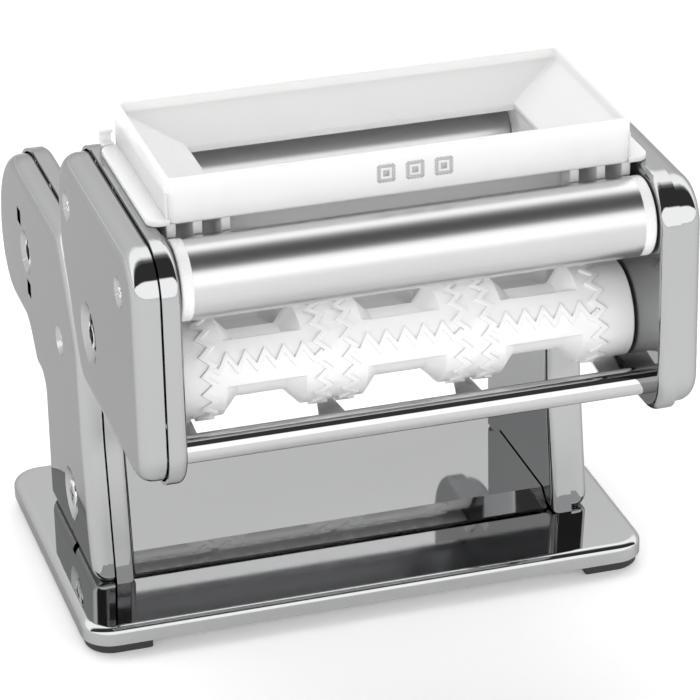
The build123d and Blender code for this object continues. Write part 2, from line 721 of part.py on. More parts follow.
def funnel(grow, low_z, straight=False):
    """The space above the sloping floor, or the throat below it, grown sideways."""
    throat_y = (THROAT_FRONT + THROAT_BACK) / 2
    low = Rectangle(2 * (THROAT_HALF_X + grow), THROAT_BACK - THROAT_FRONT + 2 * grow)
    if straight:
        start = HOPPER_BOTTOM - THROAT_CUT
        return Pos(0, throat_y, start) * extrude(low, low_z + 1 - start)
    middle_y = (HOPPER_FRONT + HOPPER_BACK) / 2
    inset = HOPPER_WALL - grow
    high = Rectangle(
        2 * (HOPPER_HALF_X - inset), HOPPER_BACK - HOPPER_FRONT - 2 * inset
    )
    return loft([Pos(0, throat_y, low_z) * low, Pos(0, middle_y, HOPPER_TOP) * high])


def ear(side):
    """The flange at an end of the tray that rests on a side plate."""
    inner = side * (HOPPER_HALF_X - 1)
    outer = side * EAR_REACH
    body = brick(
        inner, outer, HOPPER_FRONT + 1, HOPPER_BACK - 4, HOPPER_BOTTOM, HOPPER_BOTTOM + EAR_THICK
    )
    corners = body.edges().filter_by(Axis.Z).filter_by_position(
        Axis.X, *sorted((outer - 0.01, outer + 0.01))
    )
    return fillet(corners, 4.0)


def rib(middle):
    """A deep rib across the underside; its lower end points down between the sheets."""
    front = HOPPER_FRONT + 1
    back = HOPPER_BACK - 1
    tip_front, tip_back, tip_z = RIB_TIP
    points = [
        (front, RIB_SHOULDER), (tip_front, tip_z), (tip_back, tip_z), (back, RIB_SHOULDER),
        (back, HOPPER_TOP - 8), (front, HOPPER_TOP - 8),
    ]
    profile = make_face(Polyline(*points, close=True).edges())
    return slab(profile, middle - RIB_THICK / 2, middle + RIB_THICK / 2)


def apron():
    """The thin wall that hangs in front of the throat."""
    half = THROAT_HALF_X + HOPPER_WALL - 0.7
    return brick(-half, half, THROAT_FRONT - HOPPER_WALL, THROAT_FRONT, APRON_LOW, THROAT_Z)


def unit_screws():
    """The four screws that hold the unit's caps to their posts."""
    seat = UNIT_OUTER - UNIT_DISH_DEPTH
    return [
        pan_screw(side * seat, side, *post, SCREW_HEAD, SCREW_HEIGHT, 7)
        for side in SIDES.values()
        for post in CAP_POSTS
    ]


def machine_screws():
    """The two screws that hold the machine's caps to the lower rod."""
    seat = MACHINE_OUTER - MACHINE_DISH_DEPTH
    return [
        pan_screw(side * seat, side, *LOW_ROD, SCREW_HEAD, SCREW_HEIGHT, 7)
        for side in SIDES.values()
    ]


def leg_bolts():
    """The two bolts through the leg dimples into the brackets inside."""
    seat = MACHINE_OUTER - MACHINE_DISH_DEPTH
    return [
        pan_screw(side * seat, side, *LEG_BOLT, BOLT_HEAD, BOLT_HEIGHT, 5)
        for side in SIDES.values()
    ]


# ---------------------------------------------------------------- write every piece
save(base_plate(), "base_plate")
for x_name, x_side in SIDES.items():
    for y_name, y_side in {"front": -1, "rear": 1}.items():
        save(foot(x_side, y_side), f"foot_{y_name}_{x_name}")
    save(leg_bracket(x_side), f"leg_bracket_{x_name}")
    save(machine_cap(x_side), f"machine_{x_name}_cap")
    save(machine_plate(x_side), f"machine_{x_name}_plate")
    save(unit_cap(x_side), f"ravioli_{x_name}_cap")
    save(unit_plate(x_side), f"ravioli_{x_name}_plate")
save(
    Compound([base_screw(side, y) for side in SIDES.values() for y in BASE_SCREW_Y]),
    "base_screws",
)

drive_roller = sheeting_roller(DRIVE_Y, MACHINE_SHAFT_END, MACHINE_INNER + 6)
save(drive_socket(drive_roller, MACHINE_SHAFT_END, DRIVE_Y, DRIVE_Z), "driven_sheeting_roller")
save(
    sheeting_roller(ADJUST_Y, MACHINE_GEAR_X - GEAR_WIDTH - 0.4, MACHINE_INNER + 6),
    "adjustable_sheeting_roller",
)
gear_span = (MACHINE_GEAR_X, MACHINE_GEAR_X - GEAR_WIDTH)
save(
    gear(*gear_span, DRIVE_Y, DRIVE_Z, SMOOTH_TEETH, SMOOTH_SPACING, 0, SHAFT_R),
    "driven_roller_gear",
)
save(
    gear(*gear_span, ADJUST_Y, DRIVE_Z, SMOOTH_TEETH, SMOOTH_SPACING, 9, SHAFT_R),
    "adjustable_roller_gear",
)
save(
    Compound([bush(side, MACHINE_INNER, DRIVE_Y, DRIVE_Z) for side in SIDES.values()]),
    "driven_roller_bushes",
)
save(Compound(eccentric_bushes()), "eccentric_bushes")
save(scraper(DRIVE_Y, 1), "rear_scraper")
save(scraper(ADJUST_Y - SMOOTH_TRAVEL, -1), "front_scraper")
save(spacer_rod(MACHINE_INNER, *HANG_ROD, ROD_R), "machine_hanging_rod")
save(necked_rod(MACHINE_INNER, MACHINE_NECK_END, *LOW_ROD, ROD_R), "machine_lower_rod")
save(knob_hub(), "knob_hub")
save(knob_dial(), "knob_dial")
save(thickness_knob(), "thickness_knob")
save(Compound(machine_screws()), "machine_cap_screws")
save(Compound(leg_bolts()), "leg_bolts")

for name, axis_y in {"front": MOULD_FRONT_Y, "rear": MOULD_REAR_Y}.items():
    save(moulding_roller(axis_y), f"{name}_moulding_roller")
rear_shaft = rod(UNIT_SHAFT_END, UNIT_SEAM + 4, MOULD_REAR_Y, MOULD_Z, SHAFT_R)
save(
    drive_socket(rear_shaft, UNIT_SHAFT_END, MOULD_REAR_Y, MOULD_Z), "rear_moulding_shaft"
)
save(
    rod(-UNIT_SEAM, UNIT_SEAM + 4, MOULD_FRONT_Y, MOULD_Z, SHAFT_R), "front_moulding_shaft"
)
unit_gear_span = (UNIT_GEAR_X, UNIT_GEAR_X + GEAR_WIDTH)
for name, axis_y, phase in (("rear", MOULD_REAR_Y, 0), ("front", MOULD_FRONT_Y, 9)):
    save(
        gear(*unit_gear_span, axis_y, MOULD_Z, MOULD_TEETH, MOULD_SPACING, phase, SHAFT_R),
        f"{name}_moulding_gear",
    )
save(
    Compound([
        bush(side, UNIT_INNER, axis_y, MOULD_Z)
        for side in SIDES.values()
        for axis_y in (MOULD_FRONT_Y, MOULD_REAR_Y)
    ]),
    "moulding_bushes",
)
for name, axis_y in {"front": CARRY_FRONT_Y, "rear": CARRY_REAR_Y}.items():
    save(carrying_tube(axis_y), f"{name}_carrying_tube")
    save(carrying_axle(axis_y), f"{name}_carrying_axle")
    for x_name, x_side in SIDES.items():
        save(carrying_ring(axis_y, x_side), f"{name}_{x_name}_ring")
save(stripper_comb(*FRONT_COMB), "front_stripper_comb")
save(stripper_comb(*REAR_COMB), "rear_stripper_comb")
save(spacer_rod(UNIT_INNER, *FRONT_ROD, FRONT_ROD_R), "unit_front_rod")
save(spacer_rod(UNIT_INNER, *REAR_ROD, ROD_R), "unit_rear_rod")
save(Compound([mounting_hook(side) for side in SIDES.values()]), "mounting_hooks")
save(hopper(), "filling_hopper")
save(Compound(unit_screws()), "ravioli_cap_screws")
save(
    Compound([cap_post(side, post) for side in SIDES.values() for post in CAP_POSTS]),
    "ravioli_cap_posts",
)
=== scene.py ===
"""Looks for the pasta roller machine: materials, detailed pieces, camera and light.

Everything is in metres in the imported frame: X along the rollers, -Y the ravioli side, +Z up.
"""

import json
import math

import bmesh
import bpy
from mathutils import Matrix, Vector


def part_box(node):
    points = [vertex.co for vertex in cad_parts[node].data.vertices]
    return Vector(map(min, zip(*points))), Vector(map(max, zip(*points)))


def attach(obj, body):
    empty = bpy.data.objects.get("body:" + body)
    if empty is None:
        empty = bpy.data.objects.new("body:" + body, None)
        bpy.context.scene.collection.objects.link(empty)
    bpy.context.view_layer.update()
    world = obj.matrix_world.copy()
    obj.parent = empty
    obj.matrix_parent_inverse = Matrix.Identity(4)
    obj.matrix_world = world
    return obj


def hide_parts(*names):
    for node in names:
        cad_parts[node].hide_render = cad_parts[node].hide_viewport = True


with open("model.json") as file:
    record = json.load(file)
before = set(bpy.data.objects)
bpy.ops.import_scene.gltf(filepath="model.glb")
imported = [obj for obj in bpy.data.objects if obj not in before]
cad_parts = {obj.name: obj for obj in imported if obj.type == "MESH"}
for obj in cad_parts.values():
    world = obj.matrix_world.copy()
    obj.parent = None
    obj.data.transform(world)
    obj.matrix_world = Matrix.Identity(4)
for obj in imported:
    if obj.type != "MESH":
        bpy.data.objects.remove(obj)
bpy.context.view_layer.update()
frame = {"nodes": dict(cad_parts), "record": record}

MM = 0.001
NODES = frame["nodes"]

# ---------------------------------------------------------------- the camera, as fitted
CAMERA_AZIMUTH = -16.23
CAMERA_ELEVATION = 25.59
CAMERA_ROLL = -1.22
CAMERA_LENS = 189.45
CAMERA_DISTANCE = 1.3249
CAMERA_TARGET = Vector((0.0122, 0.0, 0.0714))


# ---------------------------------------------------------------- material helpers
class Nodes:
    """A small wrapper that adds shader nodes to one material's tree."""

    def __init__(self, name):
        self.material = bpy.data.materials.new(name)
        self.material.use_nodes = True
        self.tree = self.material.node_tree
        self.tree.nodes.clear()
        self.out = self.tree.nodes.new("ShaderNodeOutputMaterial")
        self.shader = self.tree.nodes.new("ShaderNodeBsdfPrincipled")
        self.tree.links.new(self.shader.outputs[0], self.out.inputs[0])
        self.coords = self.tree.nodes.new("ShaderNodeTexCoord")

    def link(self, source, target):
        self.tree.links.new(source, target)

    def noise(self, scale, detail, stretch=(1, 1, 1), rough=0.5):
        """Noise in object space; stretch multiplies the frequency along each axis."""
        mapping = self.tree.nodes.new("ShaderNodeMapping")
        mapping.inputs["Scale"].default_value = stretch
        self.link(self.coords.outputs["Object"], mapping.inputs["Vector"])
        node = self.tree.nodes.new("ShaderNodeTexNoise")
        node.inputs["Scale"].default_value = scale
        node.inputs["Detail"].default_value = detail
        node.inputs["Roughness"].default_value = rough
        self.link(mapping.outputs[0], node.inputs["Vector"])
        return node.outputs["Fac"]

    def ramp(self, fac, stops):
        node = self.tree.nodes.new("ShaderNodeValToRGB")
        items = node.color_ramp.elements
        while len(items) < len(stops):
            items.new(0.5)
        for item, (place, value) in zip(items, stops):
            item.position = place
            item.color = (*value, 1) if isinstance(value, tuple) else (value, value, value, 1)
        self.link(fac, node.inputs["Fac"])
        return node.outputs["Color"]

    def bump(self, height, strength, distance, normal=None):
        node = self.tree.nodes.new("ShaderNodeBump")
        node.inputs["Strength"].default_value = strength
        node.inputs["Distance"].default_value = distance
        self.link(height, node.inputs["Height"])
        if normal is not None:
            self.link(normal, node.inputs["Normal"])
        return node.outputs["Normal"]


def shade(colour, amount):
    """Colour made lighter or darker by a factor."""
    return tuple(max(0.0, min(1.0, c * amount)) for c in colour)


def metal(name, colour, rough, spread, brush, depth, grain=0.0):
    """A metal finish: brush gives the stretch of its scratches along each axis."""
    n = Nodes(name)
    n.shader.inputs["Metallic"].default_value = 1.0
    cloud = n.noise(14, 3)
    n.link(
        n.ramp(cloud, [(0.3, shade(colour, 0.965)), (0.7, shade(colour, 1.02))]),
        n.shader.inputs["Base Color"],
    )
    scratch = n.noise(900, 3, brush)
    n.link(
        n.ramp(scratch, [(0.3, rough - spread), (0.75, rough + spread)]),
        n.shader.inputs["Roughness"],
    )
    normal = n.bump(scratch, 0.35, depth)
    if grain:
        normal = n.bump(n.noise(5200, 2), 0.35, grain, normal)
    n.link(normal, n.shader.inputs["Normal"])
    return n.material


def plastic(name, colour, rough, spread, depth, subsurface=0.0, scale=1400):
    """A moulded plastic: faint clouding and a fine moulded skin."""
    n = Nodes(name)
    cloud = n.noise(22, 4)
    n.link(
        n.ramp(cloud, [(0.3, shade(colour, 0.975)), (0.7, shade(colour, 1.01))]),
        n.shader.inputs["Base Color"],
    )
    skin = n.noise(scale, 3)
    n.link(
        n.ramp(skin, [(0.3, rough - spread), (0.7, rough + spread)]),
        n.shader.inputs["Roughness"],
    )
    n.link(n.bump(skin, 0.25, depth), n.shader.inputs["Normal"])
    if subsurface:
        n.shader.inputs["Subsurface Weight"].default_value = subsurface
        n.shader.inputs["Subsurface Radius"].default_value = (0.004, 0.0038, 0.0036)
        n.shader.inputs["Subsurface Scale"].default_value = 1.0
    return n.material


def mirror(name, colour, rough, spread, wave):
    """Bright chrome: a clear reflection, hairline wiping marks and faint pressing waves."""
    n = Nodes(name)
    n.shader.inputs["Metallic"].default_value = 1.0
    n.shader.inputs["Specular Tint"].default_value = (0.5, 0.5, 0.5, 1)
    cloud = n.noise(11, 3)
    n.link(
        n.ramp(cloud, [(0.3, shade(colour, 0.975)), (0.7, shade(colour, 1.015))]),
        n.shader.inputs["Base Color"],
    )
    wipe = n.noise(700, 4, (0.3, 0.12, 1.0), 0.6)
    n.link(
        n.ramp(wipe, [(0.35, rough - spread), (0.8, rough + spread)]),
        n.shader.inputs["Roughness"],
    )
    waves = n.bump(n.noise(38, 1), 0.5, wave)
    n.link(n.bump(wipe, 0.2, 0.0000004, waves), n.shader.inputs["Normal"])
    return n.material


CHROME = (0.425, 0.428, 0.432)
MATERIALS = {
    "chromed_sheet": mirror("chromed_sheet", CHROME, 0.045, 0.015, 0.00003),
    "rod_chrome": mirror("rod_chrome", (0.52, 0.52, 0.525), 0.05, 0.015, 0.000004),
    "screw_chrome": metal("screw_chrome", (0.60, 0.60, 0.61), 0.14, 0.04, (1, 1, 1), 0.000004),
    "satin_tube": metal(
        "satin_tube", (0.56, 0.56, 0.565), 0.30, 0.012, (6.6, 0.2, 0.2), 0.00000005, 0.00000005
    ),
    "sheeting_roller": metal(
        "sheeting_roller", (0.60, 0.60, 0.61), 0.20, 0.04, (5.0, 0.2, 0.2), 0.0000015
    ),
    "shaft_steel": metal("shaft_steel", (0.52, 0.52, 0.53), 0.24, 0.05, (2, 0.2, 0.2), 0.000003),
    "strip_steel": metal("strip_steel", (0.56, 0.56, 0.57), 0.22, 0.05, (0.08, 2, 2), 0.000002),
    "gear_steel": metal("gear_steel", (0.42, 0.42, 0.43), 0.32, 0.06, (0.3, 1, 1), 0.000006),
    "dial_aluminium": metal(
        "dial_aluminium", (0.70, 0.70, 0.71), 0.28, 0.05, (0.2, 1, 1), 0.000004
    ),
    "gear_nylon": plastic("gear_nylon", (0.80, 0.79, 0.74), 0.42, 0.05, 0.00001),
    "bush_nylon": plastic("bush_nylon", (0.78, 0.77, 0.72), 0.40, 0.05, 0.00001),
    "ring_plastic": plastic("ring_plastic", (0.75, 0.75, 0.747), 0.26, 0.04, 0.000006),
    "moulding_plastic": plastic("moulding_plastic", (0.80, 0.80, 0.80), 0.34, 0.05, 0.000008),
    "hopper_plastic": plastic("hopper_plastic", (0.76, 0.76, 0.758), 0.22, 0.04, 0.000005, 0.3),
    "knob_plastic": plastic("knob_plastic", (0.035, 0.035, 0.038), 0.42, 0.06, 0.00003, 0.0, 900),
    "foot_rubber": plastic("foot_rubber", (0.018, 0.018, 0.018), 0.62, 0.06, 0.00004, 0.0, 1200),
}
INK = plastic("print_ink", (0.44, 0.44, 0.445), 0.5, 0.06, 0.000004)
SLOT_OF = {p["node"]: p["material_slot"] for p in frame["record"]["subparts"]}
for name, node in NODES.items():
    for index in range(max(1, len(node.data.materials))):
        if node.data.materials:
            node.data.materials[index] = MATERIALS[SLOT_OF[name]]
        else:
            node.data.materials.append(MATERIALS[SLOT_OF[name]])


# ---------------------------------------------------------------- mesh helpers
MERGE_DISTANCE = 0.000002      # metres
BEVEL_SEGMENTS = 2
BEVEL_ANGLE = 28


def add_bands(faces, starts, count, closed=True):
    """Quads between successive loops of vertices that begin at the given indices."""
    around = count if closed else count - 1
    for low, high in zip(starts, starts[1:]):
        for i in range(around):
            j = (i + 1) % count
            faces.append((low + i, low + j, high + j, high + i))


def loft(verts, faces, loops, wrap=False, caps=True):
    """Closed skin through loops of equal length; wrap joins the last to the first."""
    starts = []
    for loop in loops:
        starts.append(len(verts))
        verts.extend(loop)
    count = len(loops[0])
    if wrap:
        starts.append(starts[0])
    add_bands(faces, starts, count)
    if caps and not wrap:
        faces.append(tuple(starts[0] + i for i in reversed(range(count))))
        faces.append(tuple(starts[-1] + i for i in range(count)))


def build(name, verts, faces, material, body, bevel=0.0, smooth=30.0):
    """A mesh object in millimetres made into metres, with its normals turned outward."""
    mesh = bpy.data.meshes.new(name)
    mesh.from_pydata([tuple(c * MM for c in v) for v in verts], [], faces)
    work = bmesh.new()
    work.from_mesh(mesh)
    bmesh.ops.remove_doubles(work, verts=work.verts, dist=MERGE_DISTANCE)
    bmesh.ops.recalc_face_normals(work, faces=work.faces)
    work.to_mesh(mesh)
    work.free()
    mesh.materials.append(material)
    piece = bpy.data.objects.new(name, mesh)
    bpy.context.scene.collection.objects.link(piece)
    if bevel:
        rounding = piece.modifiers.new("rounded_edges", "BEVEL")
        rounding.width = bevel * MM
        rounding.segments = BEVEL_SEGMENTS
        rounding.limit_method = "ANGLE"
        rounding.angle_limit = math.radians(BEVEL_ANGLE)
        rounding.harden_normals = False
    mesh.shade_smooth()
    with bpy.context.temp_override(object=piece, active_object=piece, selected_objects=[piece]):
        bpy.ops.object.shade_smooth_by_angle(angle=math.radians(smooth))
    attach(piece, body)
    return piece


def mid(box, axis):
    """Middle of a frame box along one axis, in millimetres."""
    return (box[0][axis] + box[1][axis]) / 2 / MM


# ---------------------------------------------------------------- moulding rollers (mm)
LAND_R = 16.5
RIDGE_TOP = 17.5
POCKET_FLOOR = 11.0
FLOOR_HALF_X = 8.3
MOUTH_HALF_X = 13.5
FLOOR_HALF_ARC = 49.0
MOUTH_HALF_ARC = 63.0
CELL_PITCH = 47.7
CELL_HALF = 19.2
LAND_TILT = 25.6
ROLLER_HALF = 79.4
ROLLER_BORE = 4.5
ROLLER_CHAMFER = 0.4
FLAT_TOLERANCE = 0.02
SLOPE_STEPS = 4
RIDGE_ROOT = 16.2
RIDGE_HALF = 0.85
RIDGE_CHAMFER = 0.2
RING_TEETH = 17
RING_SWING = 1.8
BAR_TEETH = 6
BAR_SWING = 2.4
ROLLER_BEVEL = 0.22


def clamp(value):
    """Value held between 0 and 1."""
    return max(0.0, min(1.0, value))


def spread(start, stop, count):
    """Count steps from start to stop, without the last value."""
    return [start + (stop - start) * i / count for i in range(count)]


def roller_stations():
    """Places along the roller where its surface has a line of vertices."""
    stations = [-ROLLER_HALF + ROLLER_CHAMFER]
    for cell in (-1, 0, 1):
        middle = cell * CELL_PITCH
        stations += [middle - v for v in spread(MOUTH_HALF_X, FLOOR_HALF_X, SLOPE_STEPS)]
        stations += [middle + v for v in spread(-FLOOR_HALF_X, FLOOR_HALF_X, 4)]
        stations += [middle + v for v in spread(FLOOR_HALF_X, MOUTH_HALF_X, SLOPE_STEPS)]
        stations.append(middle + MOUTH_HALF_X)
    return stations + [ROLLER_HALF - ROLLER_CHAMFER]


def roller_angles():
    """Angles round the roller, 0 at the middle of a land, for the whole turn."""
    angles = []
    for middle in (90.0, 270.0):
        angles += [middle - v for v in spread(MOUTH_HALF_ARC, FLOOR_HALF_ARC, SLOPE_STEPS)]
        angles += [middle + v for v in spread(-FLOOR_HALF_ARC, FLOOR_HALF_ARC, 14)]
        angles += [middle + v for v in spread(FLOOR_HALF_ARC, MOUTH_HALF_ARC, SLOPE_STEPS)]
        angles += [middle + v for v in spread(MOUTH_HALF_ARC, 180 - MOUTH_HALF_ARC, 8)]
    return angles


def roller_radius(x, angle):
    """Radius of the moulded surface at a place along and round the roller."""
    dx = min(abs(x - cell * CELL_PITCH) for cell in (-1, 0, 1))
    turn = min(abs((angle - middle + 180) % 360 - 180) for middle in (90, 270))
    if dx > MOUTH_HALF_X or turn > MOUTH_HALF_ARC:
        return LAND_R
    along = clamp((dx - FLOOR_HALF_X) / (MOUTH_HALF_X - FLOOR_HALF_X))
    across = clamp((turn - FLOOR_HALF_ARC) / (MOUTH_HALF_ARC - FLOOR_HALF_ARC))
    return POCKET_FLOOR + (LAND_R - POCKET_FLOOR) * max(along, across)


class RollerSkin:
    """The mesh of one moulding roller about its own axis."""

    def __init__(self, side, axis_y, axis_z):
        self.side = side
        self.axis_y = axis_y
        self.axis_z = axis_z
        self.verts = []
        self.faces = []

    def place(self, x, angle, radius):
        turned = math.radians(angle + LAND_TILT)
        return (
            x,
            self.axis_y + self.side * radius * math.cos(turned),
            self.axis_z + radius * math.sin(turned),
        )

    def radius_at(self, corner):
        _, y, z = self.verts[corner]
        return math.hypot(y - self.axis_y, z - self.axis_z)

    def add_body(self):
        """The pocketed surface, its end faces and the bore."""
        angles = roller_angles()
        count = len(angles)
        ends = (ROLLER_BORE, LAND_R - ROLLER_CHAMFER)
        loops = [[self.place(-ROLLER_HALF, a, radius) for a in angles] for radius in ends]
        loops += [
            [self.place(x, a, roller_radius(x, a)) for a in angles] for x in roller_stations()
        ]
        loops += [
            [self.place(ROLLER_HALF, a, radius) for a in angles] for radius in reversed(ends)
        ]
        starts = []
        for loop in loops:
            starts.append(len(self.verts))
            self.verts.extend(loop)
        starts.append(starts[0])
        for low, high in zip(starts, starts[1:]):
            for i in range(count):
                j = (i + 1) % count
                self.add_patch((low + i, low + j, high + j, high + i))

    def add_patch(self, corners):
        """A quad where it is flat, else two triangles split along its fold."""
        radii = [self.radius_at(corner) for corner in corners]
        if abs(radii[0] + radii[2] - radii[1] - radii[3]) < FLAT_TOLERANCE:
            self.faces.append(corners)
        elif abs(radii[0] - radii[2]) > abs(radii[1] - radii[3]):
            self.faces += [corners[:3], (corners[0], corners[2], corners[3])]
        else:
            self.faces += [(corners[0], corners[1], corners[3]), corners[1:]]

    def add_ridge(self, points, closed):
        """A toothed ridge through points given as (along, arc) on the land."""
        section = (
            (-RIDGE_HALF, RIDGE_ROOT), (-RIDGE_HALF, RIDGE_TOP - RIDGE_CHAMFER),
            (-RIDGE_HALF + RIDGE_CHAMFER, RIDGE_TOP), (RIDGE_HALF - RIDGE_CHAMFER, RIDGE_TOP),
            (RIDGE_HALF, RIDGE_TOP - RIDGE_CHAMFER), (RIDGE_HALF, RIDGE_ROOT),
        )
        rows = []
        for i in range(len(points)):
            here, mitre = ridge_mitre(points, i, closed)
            row = []
            for across, radius in section:
                x, arc = here + mitre * across
                row.append(self.place(x, math.degrees(arc / LAND_R), radius))
            rows.append(row)
        loft(self.verts, self.faces, rows, wrap=closed)


def ridge_mitre(points, i, closed):
    """A ridge's point and the direction across the ridge there."""
    total = len(points)
    full_turn = Vector((0, 2 * math.pi * LAND_R))
    here = Vector(points[i])
    before = Vector(points[i - 1]) if i or closed else here
    after = Vector(points[(i + 1) % total]) if i < total - 1 or closed else here
    if closed and i == 0:
        before = before - full_turn
    if closed and i == total - 1:
        after = after + full_turn
    into = (here - before) if before != here else (after - here)
    out = (after - here) if after != here else into
    normal_in = Vector((-into.y, into.x)).normalized()
    normal_out = Vector((-out.y, out.x)).normalized()
    mitre = (normal_in + normal_out).normalized()
    return here, mitre / max(0.5, mitre.dot(normal_in))


def ring_points(middle):
    """A zigzag all round the roller, at one place along it."""
    steps = 2 * RING_TEETH
    circle = 2 * math.pi * LAND_R
    return [(middle + RING_SWING * (-1) ** i, circle * i / steps) for i in range(steps)]


def bar_points(middle, land):
    """A zigzag along one land, from one ring of a cell to the other."""
    steps = 2 * BAR_TEETH
    return [
        (
            middle - CELL_HALF + 2 * CELL_HALF * i / steps,
            land + BAR_SWING * (0 if i in (0, steps) else (-1) ** i),
        )
        for i in range(steps + 1)
    ]


def moulding_roller(name, body, side, axis_y, axis_z):
    """One roller with tapered pockets and toothed sealing ridges round each cell."""
    skin = RollerSkin(side, axis_y, axis_z)
    skin.add_body()
    for cell in (-1, 0, 1):
        middle = cell * CELL_PITCH
        for end in (-1, 1):
            skin.add_ridge(ring_points(middle + end * CELL_HALF), True)
        for land in (0.0, math.pi * LAND_R):
            skin.add_ridge(bar_points(middle, land), False)
    material = MATERIALS["moulding_plastic"]
    piece = build(name, skin.verts, skin.faces, material, body, bevel=ROLLER_BEVEL)
    return piece


for where, side in (("front", -1), ("rear", 1)):
    shaft_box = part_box(f"{where}_moulding_shaft")
    roller = moulding_roller(
        f"{where}_ravioli_roller", f"{where}_moulding", side, mid(shaft_box, 1), mid(shaft_box, 2)
    )
    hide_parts(f"{where}_moulding_roller")

# ---------------------------------------------------------------- hopper (mm)
CORNER_STEPS = 6
# every loop of the tray's skin as (half length, front, back, corner radius, height)
HOPPER_SKIN = (
    (76.1, -104.8, -38.2, 1.0, 177.4), (77.7, -106.4, -36.6, 2.6, 177.4),
    (77.95, -106.65, -36.35, 2.8, 177.65), (78.25, -106.95, -36.05, 3.0, 178.2),
    (78.3, -107.0, -36.0, 3.0, 192.1), (78.25, -106.95, -36.05, 2.95, 192.65),
    (77.95, -106.65, -36.35, 2.7, 192.95), (77.3, -106.0, -37.0, 2.2, 193.0),
    (76.7, -105.4, -37.6, 1.7, 192.9), (76.3, -105.0, -38.0, 1.4, 192.6),
    (76.1, -104.8, -38.2, 1.2, 192.1), (75.7, -104.4, -38.6, 1.2, 189.9),
    (75.0, -103.7, -39.2, 1.0, 189.2), (57.9, -93.6, -50.4, 0.8, 180.35),
    (57.25, -93.15, -50.85, 0.6, 179.95), (57.0, -93.0, -51.0, 0.5, 179.4),
    (57.0, -93.0, -51.0, 0.5, 177.7), (57.3, -93.3, -50.7, 0.6, 177.4),
    (58.6, -94.6, -49.4, 1.0, 177.4), (59.0, -95.0, -49.0, 1.2, 177.8),
    (76.1, -104.8, -38.2, 1.0, 186.8),
)
RIB_PLACES = (58.8, 68.0, 76.7)
RIB_HALF = 1.5
RIB_SHOULDER = 166.0
RIB_TIP = (-86.0, -64.0, 154.0)
RIB_REACH = (-105.9, -37.1)
APRON_LOW = 163.0
APRON_THICK = 1.9
APRON_PAST = 1.2               # how far the apron runs past each end of the throat
APRON_BITE = 0.8               # how far the apron reaches up into the tray
RIB_BITE = 0.9                 # how far a rib reaches up into the tray's floor
HOPPER_BEVEL = 0.25
HOPPER_SMOOTH = 32
RIB_CLEAR_R = 14.3
EAR_IN = 77.2
EAR_OUT = 84.4
EAR_FRONT = -107.0
EAR_BACK = -40.0
EAR_THICK = 2.0
EAR_ROUND = 4.0
EAR_STEPS = 6
CURL_R = 3.3
CURL_THICK = 1.2
CURL_Y = -36.6
CURL_RISE = 0.2
CURL_SPAN = (79.0, 83.0)
CURL_ANGLES = (-150, 120)
CURL_STEPS = 18
PICTURE_LEFT = -8.7
PICTURE_LOW = 182.3
PICTURE_SIZE = 6.2
PICTURE_GAP = 3.5
PICTURE_MARGIN = 0.35
PICTURE_RIM = 0.85
PICTURE_TEETH = 5
PICTURE_SWING = 0.5
PRINT_HALF = 0.03              # half the thickness of the printed layer


def rounded_loop(half_x, front, back, radius, z):
    """A rounded rectangle at height z, counter-clockwise from above."""
    loop = []
    for turn, (cx, cy) in enumerate((
        (half_x - radius, back - radius), (radius - half_x, back - radius),
        (radius - half_x, front + radius), (half_x - radius, front + radius),
    )):
        for step in range(CORNER_STEPS + 1):
            a = math.radians(90 * (turn + step / CORNER_STEPS))
            loop.append((cx + radius * math.cos(a), cy + radius * math.sin(a), z))
    return loop


def under_floor(x, y):
    """Height of the underside of the tray's sloping floor."""
    low, high = HOPPER_SKIN[-2], HOPPER_SKIN[-1]
    rise = high[4] - low[4]
    by_x = (abs(x) - low[0]) / (high[0] - low[0])
    by_front = (low[1] - y) / (low[1] - high[1])
    by_back = (y - low[2]) / (high[2] - low[2])
    return low[4] + rise * max(0.0, min(1.0, max(by_x, by_front, by_back)))


def arc_points(cy, cz, radius, start, stop, steps):
    """Points (y, z) on an arc between two angles in degrees."""
    return [
        (
            cy + radius * math.cos(math.radians(start + (stop - start) * i / steps)),
            cz + radius * math.sin(math.radians(start + (stop - start) * i / steps)),
        )
        for i in range(steps + 1)
    ]


def rib_height(y):
    """Height of a rib's lower edge before the rollers' clearance is taken out."""
    tip_front, tip_back, tip_z = RIB_TIP
    by_front = (tip_front - y) / (tip_front - RIB_REACH[0])
    by_back = (y - tip_back) / (RIB_REACH[1] - tip_back)
    return tip_z + (RIB_SHOULDER - tip_z) * max(0.0, by_front, by_back)


def rib_outline(x, span, axles):
    """A rib's outline (y, z) between two places, arched over the carrying rollers."""
    front, back = span
    steps = 16
    top = [front + (back - front) * i / steps for i in range(steps + 1)]
    outline = [(y, under_floor(x, y) + RIB_BITE) for y in top]
    bottom = []
    for i in range(4 * steps + 1):
        y = back + (front - back) * i / (4 * steps)
        low = rib_height(y)
        for axle_y, axle_z in axles:
            gap = RIB_CLEAR_R ** 2 - (y - axle_y) ** 2
            if gap > 0:
                low = max(low, axle_z + math.sqrt(gap))
        bottom.append((y, low))
    return outline + bottom


def slab(verts, faces, outline, x0, x1):
    """A plate between x0 and x1 with the given (y, z) outline."""
    loft(verts, faces, [[(x0, y, z) for y, z in outline], [(x1, y, z) for y, z in outline]])


